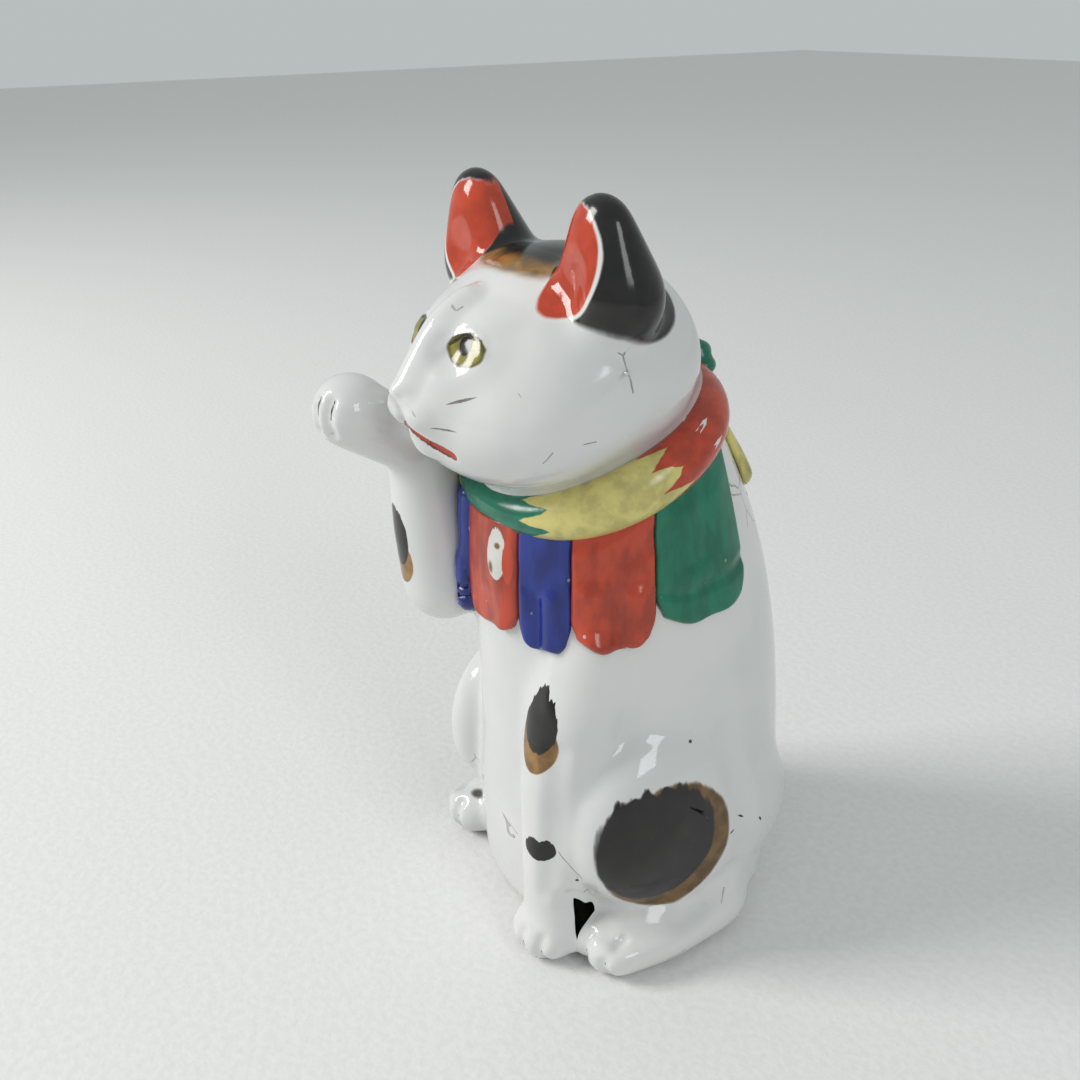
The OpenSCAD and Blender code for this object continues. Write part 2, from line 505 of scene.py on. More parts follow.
def close_with_wall(piece, wall):
    """Gives a hollow piece its wall."""
    memory = piece.verts.layers.float_vector["glaze"]
    for vert in thicken(piece, wall):
        vert[memory] = (0, 0, 0)
        vert.co.z = max(vert.co.z, 0)


def close_with_cap(piece):
    """Closes a luted end with a cap that lies inside the neighbouring clay."""
    rims = [edge for edge in piece.edges if edge.is_boundary]
    made = bmesh.ops.edgeloop_fill(piece, edges=rims)
    bmesh.ops.poke(piece, faces=made["faces"])


def object_from(mesh, name, material, slot, *nodes):
    """A finished piece of the figurine, in place of its CAD nodes."""
    memory = mesh.verts.layers.float_vector.get("glaze")
    normals = [Vector(vert[memory]) for vert in mesh.verts] if memory else None
    data = bpy.data.meshes.new(name)
    mesh.to_mesh(data)
    mesh.free()
    data.materials.append(material)
    for polygon in data.polygons:
        polygon.use_smooth = True
    if normals:
        data.normals_split_custom_set_from_vertices(normals)
        data.attributes.remove(data.attributes["glaze"])
    piece = bpy.data.objects.new(name, data)
    bpy.context.collection.objects.link(piece)
    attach(piece, "root")
    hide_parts(*nodes)
    return piece


# ---------------------------------------------------------------- bib and neck cloth

def chest_point(angle, height):
    """Point and normal of the chest at an angle round the neck, 0 at the throat, left positive."""
    middle = Vector((0, within("neck_roll", (0.5, 0.5, 0.5)).y, height))
    outwards = Vector((math.sin(angle), -math.cos(angle), 0))
    start = middle + outwards * FAR
    plain, plain_normal, _, _ = clay["torso"].ray_cast(start, -outwards)
    if plain is None:
        plain, plain_normal, _, _ = clay["torso"].find_nearest(middle + outwards * NECK_REACH)
        return plain, outwards
    full, full_normal, _, _ = clay["tree"].ray_cast(start, -outwards)
    if (full - plain).length < ARM_CLEARANCE:
        return full, full_normal
    return plain, plain_normal


def roll_line(angle):
    """Point on the middle line of the neck cloth, and the directions outwards and upwards there."""
    low, high = node_box("neck_roll")
    radius = bpy.context.scene.figurine_clay.roll_radius
    half = (high - low) / 2 - Vector((radius, radius, radius))
    point = (low + high) / 2 + Vector(
        (half.x * math.sin(angle), -half.y * math.cos(angle), -half.z * math.cos(angle)))
    upwards = Vector((0, -half.z, half.y)).normalized()
    outwards = (point - (low + high) / 2).normalized()
    return point, outwards, upwards


def cloth_grid(columns, rows, shape, relief):
    """A piece of relief cloth: shape(s, t) gives a point and a normal, relief(s, t) its height."""
    mesh = bmesh.new()
    bmesh.ops.create_grid(
        mesh, x_segments=columns, y_segments=rows, size=0.5, calc_uvs=True)
    weave = mesh.loops.layers.uv.verify()
    for face_ in mesh.faces:
        for loop in face_.loops:
            loop[weave].uv = (loop.vert.co.x + 0.5, 0.5 - loop.vert.co.y)
    for vert in mesh.verts:
        s, t = vert.co.x + 0.5, 0.5 - vert.co.y
        point, normal = shape(s, t)
        vert.co = point + normal * relief(s, t)
    if sum((face_.normal.dot(shape(0.5, 0.5)[1]) for face_ in mesh.faces)) < 0:
        bmesh.ops.reverse_faces(mesh, faces=mesh.faces)
    mesh.normal_update()
    return mesh

def wrap(value, middle, reach):
    """A smooth bump of height 1 round the middle value."""
    return falloff((value - middle) / reach)


def ease(value, start, end):
    """0 before start, 1 after end, smooth between."""
    share = min(max((value - start) / (end - start), 0), 1)
    return share * share * (3 - 2 * share)


def hem_round(s, t, width, length, reach):
    """Height share of a rounded hem: 0 at the free edges, 1 a little way in."""
    inside = min(s * width, (1 - s) * width, (1 - t) * length)
    share = min(max(inside / reach, 0), 1)
    return math.sqrt(1 - (1 - share) ** 2)


# Each pad's start and end angle round the neck in degrees, and its pleats:
# (place across, width across, where it starts on the way down, height in mm)
FLAPS = {
    "bib_front_red": (-21.5, 21.5, [(0.5, 0.3, 0.62, -0.5), (0.2, 0.16, 0.5, 0.4),
                                    (0.8, 0.16, 0.5, 0.4)]),
    "bib_left_blue": (20.8, 47.2, [(0.18, 0.17, 0.5, 0.8), (0.40, 0.12, 0.5, -0.9),
                                 (0.66, 0.19, 0.5, 0.9), (0.93, 0.13, 0.5, -0.6)]),
    "bib_left_red": (46.2, 85.2, [(0.24, 0.22, 0.5, 1.2), (0.53, 0.13, 0.55, -1.1),
                                (0.77, 0.19, 0.55, 1.3)]),
    "bib_left_green": (84.2, 130, [(0.30, 0.30, 0.2, 0.6), (0.72, 0.25, 0.2, 0.5),
                                   (0.5, 0.5, 0.72, -0.5)]),
}
MIRRORED = {
    "bib_right_blue": "bib_left_blue", "bib_right_red": "bib_left_red",
    "bib_right_green": "bib_left_green",
}


def wrinkles(node, s, t):
    """Low folds of each flap, in mm."""
    if node == "bib_left_red":
        return 0.45 * math.sin(t * 21 + s * 3.2) * wrap(t, 0.30, 0.32)
    if node == "bib_left_blue":
        return 0.25 * math.sin(t * 12) * wrap(t, 0.45, 0.2)
    if node == "bib_left_green":
        return 0.5 * wrap(t, 0.70, 0.09) * wrap(s, 0.42, 0.3) - 0.6 * wrap(t, 0.79, 0.06)
    return 0.9 * wrap(s, 0.72, 0.2) * wrap(t, 0.42, 0.22)


def make_flap(node, relief):
    """One pad of the bib, laid on the chest with its pleats and a rounded hem."""
    pattern = MIRRORED.get(node, node)
    start, end, pleats = FLAPS[pattern]
    side = -1 if node in MIRRORED else 1
    low = node_box(node)[0]
    middle_angle = math.radians((start + end) / 2)
    top = roll_line(middle_angle)[0].z
    radius = (Vector((chest_point(middle_angle, low.z)[0].x, 0, 0)).length
              + within("neck_roll", (1, 0, 0)).x) / 2
    width = radius * math.radians(end - start)
    length = top - low.z

    def shape(s, t):
        corner = 1 - 0.16 * ease(t, 0.80, 1.0) ** 2
        across = 0.5 + (s - 0.5) * corner
        angle = math.radians(start + (end - start) * across)
        crest = roll_line(angle)[0].z
        rise = 0.075 * length * abs(2 * s - 1) ** 3
        bottom = low.z + rise + 0.35 * MM * math.sin(s * 13)
        point, normal = chest_point(side * angle, crest + (bottom - crest) * t)
        return point, normal

    def height(s, t):
        folds = sum(amount * wrap(s, place, reach) * ease(t, begin, begin + 0.12)
                    for place, reach, begin, amount in pleats)
        folds += wrinkles(pattern, s, t)
        inside = hem_round(s, t, width, length, PAD_HEM)
        return inside * (relief + folds * MM) - SUNK_RIM

    mesh = cloth_grid(72, 84, shape, height)
    for _ in range(2):
        smooth_once(mesh)
    mesh.normal_update()
    return mesh


def back_with_clay(mesh, thickness):
    """Closes a relief piece behind, inside the clay that it lies on."""
    thicken(mesh, thickness)


def make_roll(radius):
    """The rolled neck cloth: a round section spun about the neck, then tilted and creased."""
    mesh = bmesh.new()
    made = bmesh.ops.create_circle(mesh, segments=28, radius=radius)
    ring = made["verts"]
    bmesh.ops.rotate(mesh, verts=ring, cent=(0, 0, 0), matrix=Matrix.Rotation(math.pi / 2, 3, "X"))
    bmesh.ops.translate(mesh, verts=ring, vec=(1, 0, 0))
    bmesh.ops.spin(mesh, geom=list(mesh.verts) + list(mesh.edges), cent=(0, 0, 0), axis=(0, 0, 1),
                   angle=math.tau, steps=220, use_merge=True)
    bmesh.ops.remove_doubles(mesh, verts=mesh.verts, dist=MERGE)
    around = mesh.loops.layers.uv.new("UVMap")
    places = {}
    for vert in mesh.verts:
        flat = Vector((vert.co.x, vert.co.y, 0))
        angle = math.atan2(flat.x, -flat.y)
        section = math.atan2(vert.co.z, flat.length - 1)
        point, outwards, upwards = roll_line(angle)
        size = radius * (0.80 + 0.20 * wrap(abs(angle), 1.35, 1.6))
        crease = 0.028 * math.sin(2 * section + 3.5 * angle) + 0.02 * math.sin(section - 5 * angle)
        size *= 1 + crease
        places[vert] = (angle, section)
        vert.co = point + (outwards * math.cos(section) + upwards * math.sin(section)) * size
    for face_ in mesh.faces:
        for loop in face_.loops:
            angle, section = places[loop.vert]
            loop[around].uv = (angle / math.tau + 0.5, section / math.tau + 0.5)
    bmesh.ops.recalc_face_normals(mesh, faces=mesh.faces)
    return mesh


def make_knot():
    """The knot at the nape: a soft lump of cloth with creases that run into its middle."""
    mesh = bmesh.new()
    bmesh.ops.create_uvsphere(mesh, u_segments=72, v_segments=48, radius=1)
    low, high = node_box("nape_knot")
    half = (high - low) / 2
    for vert in mesh.verts:
        x, z = vert.co.x, vert.co.z
        turn = math.atan2(z, x)
        spread = min(math.hypot(x, z) * 1.4, 1)
        groove = 0.07 * math.sin(turn * 7 + 1.5 * spread) * spread * (1 - 0.3 * spread)
        waist = 0.16 * wrap(x, 0, 0.3) * spread
        vert.co *= (1 - abs(0.05 * spread)) + groove - waist
    bmesh.ops.scale(mesh, verts=mesh.verts, vec=half)
    bmesh.ops.translate(mesh, verts=mesh.verts, vec=(low + high) / 2)
    bmesh.ops.recalc_face_normals(mesh, faces=mesh.faces)
    return mesh


def make_ribbon(node, relief):
    """One hanging end of the tie, laid on the back of the figurine."""
    side = -1 if node == "right_ribbon" else 1
    low, high = node_box(node)
    inner, outer = (low.x, high.x) if side > 0 else (high.x, low.x)

    def shape(s, t):
        path = inner + (outer - inner) * (0.12 + 0.48 * t ** 0.8)
        half = (outer - inner) * (0.20 + 0.17 * t)
        x = path + (s - 0.5) * 2 * half
        z = high.z + (low.z - high.z) * t + 3 * MM * t * (s - 0.5) * 2
        point, normal, _, _ = clay["tree"].ray_cast(Vector((x, FAR, z)), Vector((0, -1, 0)))
        return point, normal

    def height(s, t):
        inside = hem_round(s, t, RIBBON_WIDTH, high.z - low.z, RIBBON_HEM)
        wave = 0.5 * math.sin(t * 7 + s * 2) + 0.35 * wrap(s, 0.5, 0.3)
        return inside * (relief + wave * MM * 0.8) - SUNK_RIM

    mesh = cloth_grid(28, 72, shape, height)
    smooth_once(mesh)
    mesh.normal_update()
    return mesh


def make_base():
    """The closing plate of the hollow, with its vent hole and worn edges."""
    mesh = bmesh.new()
    low, high = node_box("base_plate")
    half, middle = (high - low) / 2, (low + high) / 2
    rim = bmesh.ops.create_circle(mesh, segments=120, radius=1)["verts"]
    bmesh.ops.scale(mesh, verts=rim, vec=(half.x, half.y, 1))
    bmesh.ops.translate(mesh, verts=rim, vec=(middle.x, middle.y, high.z))
    hole = bmesh.ops.create_circle(mesh, segments=120, radius=half.y * VENT_SHARE)["verts"]
    vent = within("base_plate", VENT_PLACE)
    bmesh.ops.translate(mesh, verts=hole, vec=vent)
    bmesh.ops.bridge_loops(mesh, edges=mesh.edges)
    sheet = bmesh.ops.extrude_face_region(mesh, geom=list(mesh.faces))["geom"]
    moved = [part for part in sheet if isinstance(part, bmesh.types.BMVert)]
    bmesh.ops.translate(mesh, verts=moved, vec=(0, 0, low.z - high.z))
    bmesh.ops.recalc_face_normals(mesh, faces=mesh.faces)
    sharp = [edge for edge in mesh.edges if edge.calc_face_angle(0) > 1]
    bmesh.ops.bevel(mesh, geom=sharp, offset=PLATE_BEVEL, segments=3, profile=0.5, affect="EDGES",
                    material=-1)
    return mesh


# ---------------------------------------------------------------- paint

# Shader groups by name, once they are built
GROUPS = {}
PATCH = "Brushed patch"
STROKE = "Brush stroke"


def plug(tree, socket, value):
    """Links another node's output to a socket, or sets the socket's own value."""
    if isinstance(value, bpy.types.NodeSocket):
        tree.links.new(value, socket)
    else:
        socket.default_value = value


def node_in(tree, kind, inputs=None, **settings):
    """A shader node with its settings, its values, and its links from other nodes' outputs."""
    node = tree.nodes.new("ShaderNode" + kind)
    for name, value in settings.items():
        setattr(node, name, value)
    for name, value in (inputs or {}).items():
        plug(tree, node.inputs[name], value)
    return node


def calc(tree, operation, *values, clamp=False):
    return node_in(tree, "Math", dict(enumerate(values)), operation=operation,
                   use_clamp=clamp).outputs[0]


def vector_calc(tree, operation, *values):
    made = node_in(tree, "VectorMath", dict(enumerate(values)), operation=operation)
    return made.outputs["Value" if operation in ("LENGTH", "DOT_PRODUCT") else "Vector"]


def noise_in(tree, vector, scale, detail=2.0, output="Fac"):
    inputs = {"Vector": vector, "Scale": scale, "Detail": detail}
    return node_in(tree, "TexNoise", inputs).outputs[output]


def fade(tree, value, start, end, low=0.0, high=1.0):
    """A smooth step: low before start, high after end."""
    return node_in(tree, "MapRange", {
        "Value": value, "From Min": start, "From Max": end, "To Min": low, "To Max": high,
    }, interpolation_type="SMOOTHSTEP").outputs["Result"]


def blended(tree, amount, under, over, blend="MIX"):
    """Paint over other paint."""
    mix = tree.nodes.new("ShaderNodeMix")
    mix.data_type, mix.blend_type = "RGBA", blend
    for index, value in ((0, amount), (6, under), (7, over)):
        plug(tree, mix.inputs[index], value)
    return mix.outputs[2]


def parts_of(tree, vector):
    """The three numbers of a vector."""
    return node_in(tree, "SeparateXYZ", {"Vector": vector}).outputs


def scaled(tree, vector, factor):
    return node_in(tree, "VectorMath", {0: vector, "Scale": factor}, operation="SCALE").outputs[0]


def darker(colour, share):
    return tuple(channel * share for channel in colour)


def opaque(colour):
    return (*colour, 1.0)


def new_group(name, inputs, outputs):
    """An empty shader node group with named inputs and outputs."""
    tree = bpy.data.node_groups.new(name, "ShaderNodeTree")
    for socket, kind, value in inputs:
        made = tree.interface.new_socket(socket, in_out="INPUT", socket_type="NodeSocket" + kind)
        if value is not None:
            made.default_value = value
    for socket, kind in outputs:
        tree.interface.new_socket(socket, in_out="OUTPUT", socket_type="NodeSocket" + kind)
    GROUPS[name] = tree
    return tree, tree.nodes.new("NodeGroupInput").outputs, tree.nodes.new("NodeGroupOutput").inputs


def use_group(tree, name, inputs):
    made = tree.nodes.new("ShaderNodeGroup")
    made.node_tree = GROUPS[name]
    for socket, value in inputs.items():
        plug(tree, made.inputs[socket], value)
    return made.outputs


def build_flaw_group():
    """Flaws of the fired glaze: uneven tint, pinholes, iron specks, hair scratches and ripples."""
    tree, given, result = new_group(
        "Glaze flaws",
        [("Vector", "Vector", None), ("Color", "Color", (0.8, 0.8, 0.8, 1)), ("Dirt", "Float", 1.0)],
        [("Color", "Color"), ("Height", "Float"), ("Roughness", "Float")])
    vector, colour, dirt = given["Vector"], given["Color"], given["Dirt"]
    link = tree.links.new
    cloud = fade(tree, noise_in(tree, vector, 26, 3), 0.38, 0.66)
    shade = blended(tree, cloud, (0.93, 0.945, 0.95, 1), (1.0, 1.0, 0.995, 1))
    tint = blended(tree, 1.0, colour, shade, "MULTIPLY")
    shift = scaled(tree, noise_in(tree, vector, 300, 1, "Color"), 0.6 * MM)
    wobble = vector_calc(tree, "ADD", vector, shift)
    cells = node_in(tree, "TexVoronoi", {"Vector": wobble, "Scale": 120.0})
    pick = parts_of(tree, cells.outputs["Color"])
    size = calc(tree, "MULTIPLY", pick[1], 0.085)
    dot = calc(tree, "LESS_THAN", cells.outputs["Distance"], size)
    chosen = calc(tree, "GREATER_THAN", pick[0], 0.90)
    pinhole = calc(tree, "MULTIPLY", dot, chosen)
    blots = node_in(tree, "TexVoronoi", {"Vector": wobble, "Scale": 52.0})
    draw = parts_of(tree, blots.outputs["Color"])
    blot = calc(tree, "MULTIPLY",
                calc(tree, "LESS_THAN", blots.outputs["Distance"],
                     calc(tree, "MULTIPLY", draw[1], 0.055)),
                calc(tree, "GREATER_THAN", draw[0], 0.88))
    cracks = node_in(tree, "TexVoronoi", {"Vector": wobble, "Scale": 34.0},
                     feature="DISTANCE_TO_EDGE")
    hair = calc(tree, "MULTIPLY", calc(tree, "LESS_THAN", cracks.outputs["Distance"], 0.006),
                calc(tree, "GREATER_THAN", noise_in(tree, vector, 55, 1), 0.655))
    marks = calc(tree, "MULTIPLY", calc(tree, "MAXIMUM", pinhole, blot), dirt, clamp=True)
    fine = calc(tree, "MULTIPLY", calc(tree, "MULTIPLY", hair, 0.45), dirt, clamp=True)
    marked = blended(tree, marks, tint, (0.07, 0.05, 0.04, 1))
    link(blended(tree, fine, marked, (0.16, 0.14, 0.13, 1)), result["Color"])
    ripple = calc(tree, "ADD", calc(tree, "MULTIPLY", noise_in(tree, vector, 42, 1), 0.16),
                  calc(tree, "MULTIPLY", noise_in(tree, vector, 240, 2), 0.012))
    link(calc(tree, "SUBTRACT", ripple, calc(tree, "MULTIPLY", pinhole, 0.08)), result["Height"])
    haze = fade(tree, noise_in(tree, vector, 90, 3), 0.45, 0.75, 0.07, 0.17)
    link(calc(tree, "ADD", haze, calc(tree, "MULTIPLY", marks, 0.35)), result["Roughness"])


def build_patch_group():
    """A brushed patch of colour: oval, drawn to a point or notched above, with a ragged edge."""
    tree, given, result = new_group(
        PATCH,
        [("Vector", "Vector", None), ("Centre", "Vector", None), ("Rotation", "Vector", None),
         ("Radii", "Vector", (1, 1, 1)), ("Solid", "Float", 0.0), ("Point", "Float", 0.0),
         ("Notch", "Float", 0.0), ("Ragged", "Float", 0.1), ("Soft", "Float", 0.03)],
        [("Mask", "Float")])
    offset = vector_calc(tree, "SUBTRACT", given["Vector"], given["Centre"])
    turned = node_in(tree, "VectorRotate", {"Vector": offset, "Rotation": given["Rotation"]},
                     rotation_type="EULER_XYZ", invert=True).outputs[0]
    local = vector_calc(tree, "DIVIDE", turned, given["Radii"])
    x, y, z = parts_of(tree, local)
    above = calc(tree, "MAXIMUM", z, 0.0)
    across = calc(tree, "MULTIPLY", y, calc(tree, "MULTIPLY_ADD", above, given["Point"], 1.0))
    square = calc(tree, "ADD", calc(tree, "MULTIPLY", across, across), calc(tree, "MULTIPLY", z, z))
    through = calc(tree, "MULTIPLY", calc(tree, "MULTIPLY", x, x), given["Solid"])
    reach = calc(tree, "SQRT", calc(tree, "ADD", square, through))
    cleft = calc(tree, "MAXIMUM", calc(tree, "SUBTRACT", 1.0, calc(
        tree, "MULTIPLY", calc(tree, "ABSOLUTE", y), 3.0)), 0.0)
    notched = calc(tree, "MULTIPLY_ADD", calc(tree, "MULTIPLY", cleft, above), given["Notch"], reach)
    strand = node_in(tree, "CombineXYZ", {
        "X": x, "Y": y, "Z": calc(tree, "MULTIPLY", z, 0.25)}).outputs[0]
    bristle = calc(tree, "SUBTRACT", noise_in(tree, strand, 5.0, 2), 0.5)
    ragged = calc(tree, "MULTIPLY", calc(tree, "MULTIPLY_ADD", above, 2.0, 0.45), given["Ragged"])
    edge = calc(tree, "MULTIPLY_ADD", bristle, ragged, notched)
    inside = calc(tree, "SUBTRACT", 1.0, edge)
    mask = node_in(tree, "MapRange", {
        "Value": inside, "From Min": calc(tree, "MULTIPLY", given["Soft"], -1.0),
        "From Max": given["Soft"], "To Min": 0.0, "To Max": 1.0}, interpolation_type="SMOOTHSTEP")
    gate = calc(tree, "LESS_THAN", calc(tree, "ABSOLUTE", x), 1.0)
    tree.links.new(calc(tree, "MULTIPLY", mask.outputs["Result"], gate), result["Mask"])


def build_stroke_group():
    """One stroke of a pointed brush, from a start to an end."""
    tree, given, result = new_group(
        STROKE,
        [("Vector", "Vector", None), ("Start", "Vector", None), ("End", "Vector", None),
         ("Width", "Float", 0.001), ("Taper", "Float", 0.5)],
        [("Mask", "Float"), ("Rim", "Float")])
    way = vector_calc(tree, "SUBTRACT", given["End"], given["Start"])
    offset = vector_calc(tree, "SUBTRACT", given["Vector"], given["Start"])
    share = calc(tree, "DIVIDE", vector_calc(tree, "DOT_PRODUCT", offset, way),
                 vector_calc(tree, "DOT_PRODUCT", way, way), clamp=True)
    nearest = scaled(tree, way, share)
    distance = vector_calc(tree, "LENGTH", vector_calc(tree, "SUBTRACT", offset, nearest))
    centred = calc(tree, "MULTIPLY_ADD", share, 2.0, -1.0)
    thin = calc(tree, "SUBTRACT", 1.0, calc(
        tree, "MULTIPLY", calc(tree, "MULTIPLY", centred, centred), given["Taper"]))
    shaky = calc(tree, "MULTIPLY_ADD", noise_in(tree, given["Vector"], 900, 1), 0.6, 0.7)
    half = calc(tree, "MULTIPLY", calc(tree, "MULTIPLY", given["Width"], thin), shaky)
    ratio = calc(tree, "DIVIDE", distance, half)
    tree.links.new(fade(tree, ratio, 0.75, 1.1, 1.0, 0.0), result["Mask"])
    tree.links.new(fade(tree, ratio, 1.05, 1.5, 1.0, 0.0), result["Rim"])


def build_enamel_group():
    """A coat of overglaze enamel: brush streaks, pools of thick colour and small bare flecks."""
    tree, given, result = new_group(
        "Enamel coat",
        [("Vector", "Vector", None), ("Thin", "Color", (0.5, 0.5, 0.5, 1)),
         ("Thick", "Color", (0.2, 0.2, 0.2, 1)), ("Streaks", "Vector", (1, 1, 1)),
         ("Wear", "Float", 0.5)],
        [("Color", "Color"), ("Height", "Float"), ("Roughness", "Float")])
    vector = given["Vector"]
    drawn = vector_calc(tree, "MULTIPLY", vector, given["Streaks"])
    streak = noise_in(tree, drawn, 260, 3)
    pool = noise_in(tree, vector, 75, 2)
    amount = fade(tree, calc(tree, "ADD", calc(tree, "MULTIPLY", streak, 0.6),
                             calc(tree, "MULTIPLY", pool, 0.4)), 0.40, 0.62)
    colour = blended(tree, amount, given["Thin"], given["Thick"])
    flecks = node_in(tree, "TexVoronoi", {"Vector": vector, "Scale": 420.0})
    draw = parts_of(tree, flecks.outputs["Color"])[0]
    bare = calc(tree, "MULTIPLY", calc(tree, "LESS_THAN", flecks.outputs["Distance"], 0.22),
                calc(tree, "GREATER_THAN", draw, 0.955))
    bare = calc(tree, "MULTIPLY", bare, given["Wear"], clamp=True)
    tree.links.new(blended(tree, bare, colour, (0.55, 0.50, 0.46, 1)), result["Color"])
    grain = calc(tree, "MULTIPLY", noise_in(tree, vector, 700, 2), 0.03)
    tree.links.new(calc(tree, "ADD", calc(tree, "MULTIPLY", streak, 0.05), grain), result["Height"])
    tree.links.new(fade(tree, streak, 0.3, 0.7, 0.12, 0.26), result["Roughness"])


def begin_material(name):
    material = bpy.data.materials.new(name)
    material.use_nodes = True
    tree = material.node_tree
    shader = tree.nodes["Principled BSDF"]
    shader.inputs["IOR"].default_value = 1.52
    place = tree.nodes.new("ShaderNodeTexCoord").outputs["Object"]
    return material, tree, shader, place


def finish_material(tree, shader, colour, roughness, height, relief):
    tree.links.new(colour, shader.inputs["Base Color"])
    tree.links.new(roughness, shader.inputs["Roughness"])
    bump = node_in(tree, "Bump", {"Height": height, "Strength": 1.0, "Distance": relief})
    tree.links.new(bump.outputs[0], shader.inputs["Normal"])


def glazed(name, strokes, dirt=1.0):
    """White glaze with overglaze painting: strokes are (group, colour, inputs) from the bottom up."""
    paint = bpy.context.scene.figurine_paint
    material, tree, shader, place = begin_material(name)
    flaws = use_group(tree, "Glaze flaws", {
        "Vector": place, "Color": opaque(paint.white), "Dirt": dirt})
    colour, height, roughness = flaws["Color"], flaws["Height"], flaws["Roughness"]
    x, y, z = parts_of(tree, place)
    folded = node_in(tree, "CombineXYZ", {"X": calc(tree, "ABSOLUTE", x), "Y": y, "Z": z}).outputs[0]
    mottle = fade(tree, noise_in(tree, place, 210, 3), 0.35, 0.65, 1.0, 0.55)
    for group, pigment, inputs in strokes:
        inputs = dict(inputs)
        vector = folded if inputs.pop("Both", False) else place
        rimmed = inputs.pop("Rimmed", False)
        made = use_group(tree, group, {"Vector": vector, **inputs})
        if rimmed:
            colour = blended(tree, made["Rim"], colour, opaque(darker(pigment, 0.3)))
        colour = blended(tree, made["Mask"], colour, opaque(pigment))
    painted = blended(tree, 1.0, colour, mottle, "MULTIPLY")
    finished = node_in(tree, "SeparateColor", {"Color": colour}, mode="HSV").outputs[2]
    dark = fade(tree, finished, 0.35, 0.6, 1.0, 0.0)
    colour = blended(tree, dark, colour, painted)
    roughness = calc(tree, "MULTIPLY_ADD", dark, 0.06, roughness)
    finish_material(tree, shader, colour, roughness, height, BUMP_UNIT)
    return material


def enamelled(name, thin, thick, streaks, wear, strokes=()):
    """A coat of enamel over the glaze, with further painting on it."""
    material, tree, shader, place = begin_material(name)
    coat = use_group(tree, "Enamel coat", {
        "Vector": place, "Thin": opaque(thin), "Thick": opaque(thick),
        "Streaks": streaks, "Wear": wear})
    colour, height, roughness = coat["Color"], coat["Height"], coat["Roughness"]
    for group, pigment, inputs in strokes:
        mask = use_group(tree, group, {"Vector": place, **inputs})["Mask"]
        colour = blended(tree, mask, colour, opaque(pigment))
    finish_material(tree, shader, colour, roughness, height, BUMP_UNIT)
    return material


def facing(normal):
    """Turn of a patch that lies flat on the skin, with its long way up."""
    return tuple((normal.to_track_quat("X", "Z")).to_euler())


def patch(place, radii, **inputs):
    """A brushed patch on the skin at a point and normal, with its half sizes in mm."""
    point, normal = place
    across, up, deep = radii
    return {"Centre": tuple(point), "Rotation": facing(normal),
            "Radii": (deep * MM, across * MM, up * MM), **inputs}


def blot(node, shares, radii, **inputs):
    """A patch that wraps round the clay inside an egg-shaped space."""
    return {"Centre": tuple(within(node, shares)), "Rotation": (0, 0, 0),
            "Radii": tuple(radius * MM for radius in radii), "Solid": 1.0, **inputs}


def stroke(start, end, width, taper=0.5):
    return {"Start": tuple(start), "End": tuple(end), "Width": width * MM, "Taper": taper}


def line_of_strokes(points, width, taper=0.0):
    return [stroke(start, end, width, taper) for start, end in zip(points, points[1:])]


def spot(across, along, up):
    """Point and normal of the skin nearest to a place given as shares of the whole figurine's box."""
    low, high = (Vector(corner) for corner in CAD_BOX)
    aim = Vector(low[i] + (high[i] - low[i]) * share for i, share in enumerate((across, along, up)))
    point, normal, _, _ = clay["tree"].find_nearest(aim)
    return point, normal


def coat_strokes():
    """Black and tan patches of the coat on the body, from the bottom up."""
    paint = bpy.context.scene.figurine_paint
    black, tan = tuple(paint.black), tuple(paint.tan)
    brown = darker(tan, 0.55)
    strokes = [
        (PATCH, brown, patch(spot(0.944, 0.484, 0.180), (19.5, 20.5, 14), Ragged=0.05,
                             Both=True)),
        (PATCH, black, patch(spot(0.946, 0.455, 0.192), (17.6, 19, 14), Ragged=0.16,
                             Notch=0.12, Both=True)),
        (PATCH, black, blot("body_back_shell", (0.5, 0.83, 0.64), (21, 16, 22), Ragged=0.12)),
    ]
    for start, end in (((0.957, 0.669, 0.190), (0.956, 0.684, 0.183)),
                       ((0.953, 0.729, 0.172), (0.953, 0.736, 0.165)),
                       ((0.960, 0.640, 0.170), (0.960, 0.655, 0.172))):
        strokes.append((STROKE, (0.05, 0.035, 0.03),
                        stroke(spot(*start)[0], spot(*end)[0], 0.35, 0.7)))
    return strokes + foreleg_strokes()


def foreleg_strokes():
    """The drop and the small heart on the standing foreleg."""
    paint = bpy.context.scene.figurine_paint
    black, tan = tuple(paint.black), tuple(paint.tan)
    return [
        (PATCH, tan, patch(spot(0.716, 0.259, 0.338), (6.4, 9.5, 9), Ragged=0.05)),
        (PATCH, black, patch(spot(0.719, 0.260, 0.366), (6.0, 9.2, 9), Ragged=0.42, Point=0.45)),
        (PATCH, black, patch(spot(0.759, 0.247, 0.184), (4.6, 3.7, 9), Ragged=0.25, Notch=0.5)),
    ]


def foot_strokes():
    """A smudge of kiln dirt on the right hind foot."""
    return [(PATCH, (0.09, 0.08, 0.07), patch(spot(0.165, 0.371, 0.069), (2.4, 1.6, 5), Soft=0.5))]


def toe_strokes(node):
    """Thin dark lines painted between the toes."""
    strokes = []
    for line in all_toe_lines(node):
        ends = line[1:] if node == "raised_paw" else line[:2]
        strokes.append((STROKE, (0.05, 0.04, 0.035), stroke(ends[0], ends[-1], 0.45, 0.6)))
    return strokes


